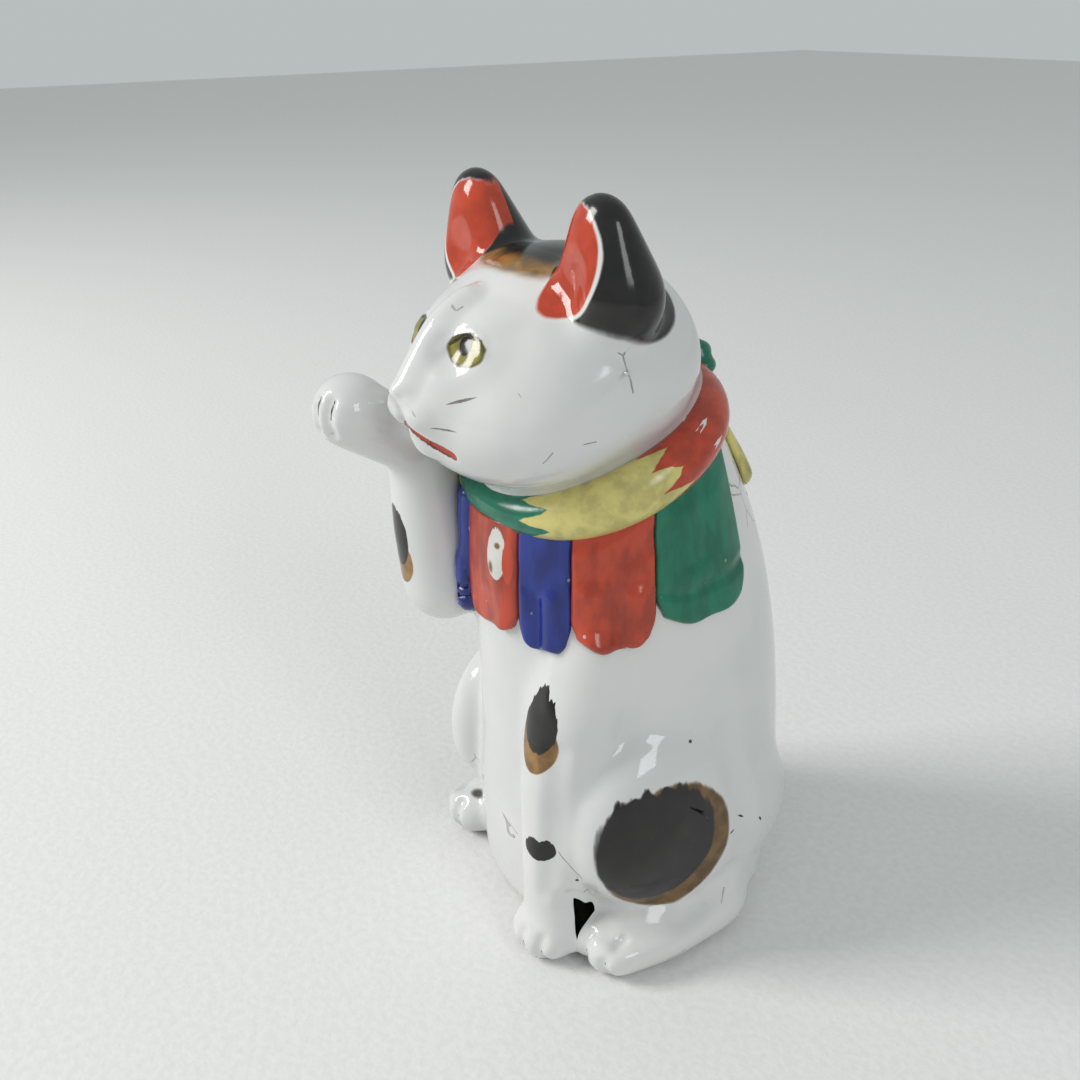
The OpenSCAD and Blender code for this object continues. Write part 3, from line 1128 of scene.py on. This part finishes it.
def face_strokes():
    """Eyes, mouth and whiskers, the same on both sides, from the bottom up."""
    paint = bpy.context.scene.figurine_paint
    olive, red, black = tuple(paint.olive), tuple(paint.red), tuple(paint.black)
    dark_olive = darker(olive, 0.45)
    eye = touch("head_face_shell", "front", 0.652, 0.724)
    pupil = touch("head_face_shell", "front", 0.643, 0.737)
    strokes = [
        (PATCH, dark_olive, patch(eye, (5.6, 4.1, 7), Ragged=0.10, Soft=0.06, Both=True)),
        (PATCH, olive, patch(eye, (4.9, 3.4, 7), Ragged=0.10, Soft=0.10, Both=True)),
        (PATCH, black, patch(pupil, (2.1, 2.3, 7), Ragged=0.10, Both=True)),
    ]
    lid = [touch("head_face_shell", "front", 0.5 + across, up)[0] for across, up in
           ((0.085, 0.735), (0.130, 0.775), (0.185, 0.765))]
    for inputs in line_of_strokes(lid, 0.45, 0.2):
        strokes.append((STROKE, (0.06, 0.05, 0.02), {**inputs, "Both": True}))
    for inputs in line_of_strokes(mouth_line(1), 1.0, 0.1):
        strokes.append((STROKE, red, {**inputs, "Both": True, "Rimmed": True}))
    for start, end in (((0.623, 0.137, 0.779), (0.673, 0.177, 0.789)),
                       ((0.592, 0.116, 0.750), (0.645, 0.148, 0.749))):
        strokes.append((STROKE, (0.30, 0.26, 0.24), {
            **stroke(spot(*start)[0], spot(*end)[0], 0.42, 0.9), "Both": True}))
    return strokes


def ear_strokes():
    """Black backs of the ears, the crown patch between them, and the red cups, each inside a thin
    white ring that is a painted highlight along the rim.
    """
    paint = bpy.context.scene.figurine_paint
    black, tan = tuple(paint.black), tuple(paint.tan)
    red, white = tuple(paint.red), tuple(paint.white)
    cup = touch("left_ear", "front", 0.40, 0.56)
    # rim: centre of the white patch whose edge shows as a painted highlight round the red cup
    rim = touch("left_ear", "front", 0.42, 0.55)
    return [
        (PATCH, tan, blot("head_back_shell", (0.49, 0.14, 0.94), (24, 18, 11), Soft=0.10)),
        (PATCH, black, blot("head_back_shell", (0.49, 0.22, 0.99), (23, 16, 11), Soft=0.16)),
        (PATCH, black, blot("left_ear", (0.56, 0.66, 0.55), (18.5, 19.5, 19.5), Ragged=0.04,
                            Both=True)),
        # Painted highlight: this white patch is a little larger than the red cup, so a thin white
        # ring shows along the ear's rim.
        (PATCH, white, patch(rim, (9.6, 12.6, 8), Ragged=0.03, Both=True)),
        (PATCH, red, patch(cup, (9.2, 12.2, 9), Ragged=0.04, Both=True)),
    ]


# ---------------------------------------------------------------- operators

def clay_piece(node, material, slot):
    """Cuts one clay piece out of the skin, closes it and puts it in place of its node."""
    piece = cut_piece(clay["skin"], CLAY_NODES.index(node))
    if node in HOLLOW_NODES:
        close_with_wall(piece, bpy.context.scene.figurine_clay.wall)
    else:
        close_with_cap(piece)
    return object_from(piece, FIRED_NAMES[node], material, slot, node)


class FIGURINE_OT_clay(bpy.types.Operator):
    """Model the whole clay skin and mark the seams in it"""
    bl_idname = "figurine.clay"
    bl_label = "Clay"

    def execute(self, context):
        settings = context.scene.figurine_clay
        skin = model_skin(settings)
        labels = label_faces(skin)
        straighten_seams(skin, labels, settings.seam_passes)
        make_finders(skin)
        glaze = skin.verts.layers.float_vector.new("glaze")
        for vert in skin.verts:
            vert[glaze] = vert.normal
        clay["skin"] = skin
        return {"FINISHED"}


class FIGURINE_OT_glazes(bpy.types.Operator):
    """Build the shader groups that the glazes and enamels share"""
    bl_idname = "figurine.glazes"
    bl_label = "Glazes"

    def execute(self, context):
        build_flaw_group()
        build_patch_group()
        build_stroke_group()
        build_enamel_group()
        return {"FINISHED"}


class FIGURINE_OT_body(bpy.types.Operator):
    """Part the body shells and paint the coat patches on them"""
    bl_idname = "figurine.body"
    bl_label = "Body"

    def execute(self, context):
        coat = glazed("coat_glaze", coat_strokes())
        for node in ("body_front_shell", "body_back_shell"):
            clay_piece(node, coat, "white_glaze")
        return {"FINISHED"}


class FIGURINE_OT_head(bpy.types.Operator):
    """Part the head shells and paint the face and the crown"""
    bl_idname = "figurine.head"
    bl_label = "Head"

    def execute(self, context):
        face_glaze = glazed("face_glaze", ear_strokes() + face_strokes())
        clay_piece("head_face_shell", face_glaze, "white_glaze")
        clay_piece("head_back_shell", glazed("crown_glaze", ear_strokes()), "white_glaze")
        return {"FINISHED"}


class FIGURINE_OT_ears(bpy.types.Operator):
    """Part the ears and paint their black backs and red cups"""
    bl_idname = "figurine.ears"
    bl_label = "Ears"

    def execute(self, context):
        ears = glazed("ear_glaze", ear_strokes(), 0.3)
        for node in ("left_ear", "right_ear"):
            clay_piece(node, ears, "black_enamel")
        return {"FINISHED"}


class FIGURINE_OT_arm(bpy.types.Operator):
    """Part the raised arm and its paw, and paint the arm's patch and the toe lines"""
    bl_idname = "figurine.arm"
    bl_label = "Raised arm"

    def execute(self, context):
        paint = context.scene.figurine_paint
        black, tan = tuple(paint.black), tuple(paint.tan)
        patches = [
            (PATCH, tan, patch(spot(0.222, 0.180, 0.512), (5.6, 7.5, 9), Ragged=0.08)),
            (PATCH, black, patch(spot(0.222, 0.180, 0.545), (5.2, 9.0, 9), Ragged=0.12)),
        ]
        clay_piece("raised_arm", glazed("arm_glaze", patches), "white_glaze")
        clay_piece("raised_paw", glazed("paw_glaze", toe_strokes("raised_paw")), "white_glaze")
        return {"FINISHED"}


class FIGURINE_OT_legs(bpy.types.Operator):
    """Part the standing foreleg and the hind feet, and paint their patches and toe lines"""
    bl_idname = "figurine.legs"
    bl_label = "Legs"

    def execute(self, context):
        for node in FOOT_TOES:
            patches = foreleg_strokes() if node == "standing_foreleg" else foot_strokes()
            material = glazed(node + "_glaze", patches + toe_strokes(node))
            clay_piece(node, material, "white_glaze")
        return {"FINISHED"}


class FIGURINE_OT_tail(bpy.types.Operator):
    """Part the short tail and paint it black"""
    bl_idname = "figurine.tail"
    bl_label = "Tail"

    def execute(self, context):
        paint = context.scene.figurine_paint
        coat = blot("tail", (0.5, 0.6, 0.62), (13, 13, 16), Ragged=0.2)
        material = glazed("tail_glaze", [(PATCH, tuple(paint.black), coat)])
        clay_piece("tail", material, "black_enamel")
        return {"FINISHED"}


class FIGURINE_OT_base(bpy.types.Operator):
    """Make the unglazed closing plate under the figurine"""
    bl_idname = "figurine.base"
    bl_label = "Closing plate"

    def execute(self, context):
        material, tree, shader, place = begin_material("bare_biscuit")
        flaws = use_group(tree, "Glaze flaws", {
            "Vector": place, "Color": (0.62, 0.56, 0.48, 1), "Dirt": 1.0})
        grain = noise_in(tree, place, 1500, 4)
        colour = blended(tree, fade(tree, grain, 0.35, 0.7), flaws["Color"], (0.50, 0.43, 0.35, 1))
        shader.inputs["IOR"].default_value = 1.45
        rough = fade(tree, grain, 0.3, 0.7, 0.75, 0.95)
        finish_material(tree, shader, colour, rough, calc(
            tree, "MULTIPLY_ADD", grain, 0.10, flaws["Height"]), BUMP_UNIT)
        object_from(make_base(), "closing_plate", material, "bare_biscuit", "base_plate")
        return {"FINISHED"}


class FIGURINE_OT_neck_cloth(bpy.types.Operator):
    """Make the rolled neck cloth with its flame-edged bands of green, yellow and red"""
    bl_idname = "figurine.neck_cloth"
    bl_label = "Neck cloth"

    def execute(self, context):
        paint = context.scene.figurine_paint
        material, tree, shader, place = begin_material("neck_cloth_enamel")
        around = node_in(tree, "UVMap", {}, uv_map="UVMap").outputs[0]
        u, v, _ = parts_of(tree, around)
        turn = calc(tree, "ABSOLUTE", calc(tree, "SUBTRACT", u, 0.5))
        coats = {}
        for name, colour in (("green", paint.green), ("yellow", paint.yellow), ("red", paint.red)):
            dark = darker(colour, 0.72)
            coats[name] = use_group(tree, "Enamel coat", {
                "Vector": place, "Thin": opaque(colour), "Thick": opaque(dark),
                "Streaks": (1, 1, 1), "Wear": 0.6})
        flame = calc(tree, "ABSOLUTE", calc(tree, "SUBTRACT", calc(
            tree, "FRACT", calc(tree, "MULTIPLY", v, 7.0)), 0.5))
        lick = calc(tree, "MULTIPLY_ADD", flame, 0.075, calc(
            tree, "MULTIPLY", noise_in(tree, place, 160, 2), 0.04))
        front = calc(tree, "ADD", turn, lick)
        first = fade(tree, front, 0.116, 0.120)
        second = fade(tree, calc(tree, "ADD", calc(tree, "SUBTRACT", turn, lick), 0.06), 0.262, 0.266)
        bare = calc(tree, "MULTIPLY", calc(tree, "COMPARE", front, 0.338, 0.006),
                    calc(tree, "LESS_THAN", flame, 0.10))
        colour = blended(tree, first, coats["green"]["Color"], coats["yellow"]["Color"])
        colour = blended(tree, second, colour, coats["red"]["Color"])
        colour = blended(tree, bare, colour, opaque(paint.white))
        finish_material(tree, shader, colour, coats["green"]["Roughness"],
                        coats["green"]["Height"], BUMP_UNIT)
        mesh = make_roll(context.scene.figurine_clay.roll_radius)
        object_from(mesh, "neck_cloth_roll", material, "yellow_enamel", "neck_roll")
        return {"FINISHED"}


class FIGURINE_OT_bib(bpy.types.Operator):
    """Make the seven pads of the bib with their pleats and enamels"""
    bl_idname = "figurine.bib"
    bl_label = "Bib"

    def execute(self, context):
        paint = context.scene.figurine_paint
        red, blue, green = tuple(paint.red), tuple(paint.blue), tuple(paint.green)
        relief = context.scene.figurine_clay.flap_relief
        bare_clay, rust = (0.62, 0.60, 0.57), (0.16, 0.08, 0.03)
        bald = [(PATCH, bare_clay, patch(spot(0.559, 0.256, 0.566), (3.4, 7.0, 8), Ragged=0.16)),
                (PATCH, rust, patch(spot(0.565, 0.25, 0.578), (1.0, 0.8, 8), Soft=0.4)),
                (PATCH, rust, patch(spot(0.545, 0.25, 0.548), (0.9, 1.6, 8), Soft=0.5)),
                (PATCH, red, patch(spot(0.600, 0.256, 0.560), (1.6, 6.0, 8), Ragged=0.4))]
        enamels = {
            "red_enamel": enamelled("red_enamel", red, darker(red, 0.68), (1, 1, 0.5), 0.8),
            "front": enamelled("worn_red_enamel", red, darker(red, 0.6), (1, 1, 0.25), 0.7, bald),
            "blue_enamel": enamelled("blue_enamel", blue, darker(blue, 0.6), (1, 1, 0.3), 0.4),
            "green_enamel": enamelled("green_enamel", green, darker(green, 0.7), (1, 1, 0.4), 0.3),
        }
        for node in [*FLAPS, *MIRRORED]:
            slot = node.rsplit("_", 1)[1] + "_enamel"
            mesh = make_flap(node, relief)
            back_with_clay(mesh, PAD_BACK)
            material = enamels["front" if node == "bib_front_red" else slot]
            object_from(mesh, node + "_pad", material, slot, node)
        return {"FINISHED"}


class FIGURINE_OT_tie(bpy.types.Operator):
    """Make the knot at the nape and the two hanging ribbons"""
    bl_idname = "figurine.tie"
    bl_label = "Knot and ribbons"

    def execute(self, context):
        paint = context.scene.figurine_paint
        red, green = tuple(paint.red), tuple(paint.green)
        knot = enamelled("knot_enamel", green, darker(green, 0.4), (1, 0.4, 1), 0.3)
        object_from(make_knot(), "nape_knot_lump", knot, "green_enamel", "nape_knot")
        material, tree, shader, place = begin_material("ribbon_enamel")
        coats = [use_group(tree, "Enamel coat", {
            "Vector": place, "Thin": opaque(colour), "Thick": opaque(darker(colour, 0.5)),
            "Streaks": (1, 1, 0.4), "Wear": 0.5}) for colour in (red, paint.yellow)]
        weave = node_in(tree, "UVMap", {}, uv_map="UVMap").outputs[0]
        u = parts_of(tree, weave)[0]
        edge = calc(tree, "ABSOLUTE", calc(tree, "SUBTRACT", u, 0.5))
        shaky = calc(tree, "MULTIPLY_ADD", noise_in(tree, place, 300, 2), 0.10, edge)
        colour = blended(tree, fade(tree, shaky, 0.40, 0.43), coats[0]["Color"], coats[1]["Color"])
        finish_material(tree, shader, colour, coats[0]["Roughness"], coats[0]["Height"], BUMP_UNIT)
        for node in ("left_ribbon", "right_ribbon"):
            mesh = make_ribbon(node, RIBBON_RELIEF)
            back_with_clay(mesh, RIBBON_BACK)
            object_from(mesh, node + "_strip", material, "red_enamel", node)
        return {"FINISHED"}


# ---------------------------------------------------------------- stage

def add_camera(settings):
    camera = bpy.data.objects.new("camera", bpy.data.cameras.new("camera"))
    bpy.context.collection.objects.link(camera)
    turn = Matrix.Rotation(settings.azimuth, 4, "Z")
    tilt = Matrix.Rotation(math.radians(90) - settings.pitch, 4, "X")
    roll = Matrix.Rotation(settings.roll, 4, "Z")
    camera.matrix_world = Matrix.Translation(Vector(settings.stand) * HEIGHT) @ turn @ tilt @ roll
    camera.data.lens = settings.lens
    camera.data.sensor_width = 36
    camera.data.clip_start = 0.01
    bpy.context.scene.camera = camera


def add_window(name, place, aim, width, height, power, colour):
    """A soft rectangular light, like a window."""
    light = bpy.data.lights.new(name, "AREA")
    light.shape, light.size, light.size_y = "RECTANGLE", width, height
    light.energy, light.color = power, colour
    stand = bpy.data.objects.new(name, light)
    bpy.context.collection.objects.link(stand)
    stand.location = place
    stand.rotation_euler = (Vector(aim) - Vector(place)).to_track_quat("-Z", "Y").to_euler()


def plain_surface(name, colour, grain):
    """A matt surface with a faint grain, for the floor."""
    material, tree, shader, place = begin_material(name)
    cloud = noise_in(tree, place, grain, 4)
    shade = blended(tree, fade(tree, cloud, 0.3, 0.7), opaque(colour), opaque(darker(colour, 0.95)))
    finish_material(tree, shader, shade, fade(tree, cloud, 0.3, 0.7, 0.7, 0.85), cloud, 0.2 * MM)
    return material


class FIGURINE_OT_stage(bpy.types.Operator):
    """Set the floor, the backdrop, the light and the camera"""
    bl_idname = "figurine.stage"
    bl_label = "Stage"

    def execute(self, context):
        settings = context.scene.figurine_stage
        mesh = bmesh.new()
        bmesh.ops.create_grid(mesh, x_segments=4, y_segments=4, size=settings.floor_size)
        data = bpy.data.meshes.new("floor")
        mesh.to_mesh(data)
        mesh.free()
        floor = bpy.data.objects.new("floor", data)
        bpy.context.collection.objects.link(floor)
        data.materials.append(plain_surface("floor_cloth", (0.80, 0.79, 0.785), 400))
        world = bpy.data.worlds.new("room")
        context.scene.world = world
        world.use_nodes = True
        sky = world.node_tree.nodes["Background"].inputs
        sky["Color"].default_value = (0.80, 0.86, 0.85, 1)
        sky["Strength"].default_value = 0.60
        add_window("window", (-0.75, -1.15, 0.95), (0, 0, 0.12), 0.55, 0.8, 18, (1, 0.99, 0.97))
        add_window("side_window", (1.5, -0.1, 0.9), (0, 0, 0.1), 0.5, 0.7, 5, (0.95, 0.98, 1))
        add_camera(settings)
        context.scene.view_settings.view_transform = "Standard"
        return {"FINISHED"}


# ---------------------------------------------------------------- add-on

STEPS = [
    FIGURINE_OT_stage, FIGURINE_OT_clay, FIGURINE_OT_glazes, FIGURINE_OT_body, FIGURINE_OT_head,
    FIGURINE_OT_ears, FIGURINE_OT_arm, FIGURINE_OT_legs, FIGURINE_OT_tail, FIGURINE_OT_base,
    FIGURINE_OT_neck_cloth, FIGURINE_OT_bib, FIGURINE_OT_tie,
]


class FIGURINE_PT_panel(bpy.types.Panel):
    """Steps that make the figurine, in order"""
    bl_label = "Figurine"
    bl_idname = "FIGURINE_PT_panel"
    bl_space_type = "VIEW_3D"
    bl_region_type = "UI"
    bl_category = "Figurine"

    def draw(self, context):
        for step in STEPS:
            self.layout.operator(step.bl_idname)
        for settings in (context.scene.figurine_clay, context.scene.figurine_paint,
                         context.scene.figurine_stage):
            box = self.layout.box()
            for name in settings.bl_rna.properties.keys():
                if name not in ("rna_type", "name"):
                    box.prop(settings, name)


CLASSES = [ClaySettings, PaintSettings, StageSettings, *STEPS, FIGURINE_PT_panel]
SCENE_SETTINGS = {
    "figurine_clay": ClaySettings, "figurine_paint": PaintSettings, "figurine_stage": StageSettings}


def register():
    for item in CLASSES:
        bpy.utils.register_class(item)
    for name, settings in SCENE_SETTINGS.items():
        setattr(bpy.types.Scene, name, PointerProperty(type=settings))


def unregister():
    for name in SCENE_SETTINGS:
        delattr(bpy.types.Scene, name)
    for item in reversed(CLASSES):
        bpy.utils.unregister_class(item)


def main():
    register()
    for step in STEPS:
        group, name = step.bl_idname.split(".")
        result = getattr(getattr(bpy.ops, group), name)()
        if result != {"FINISHED"}:
            raise RuntimeError(step.bl_label + " was not finished")


if __name__ == "__main__":
    main()
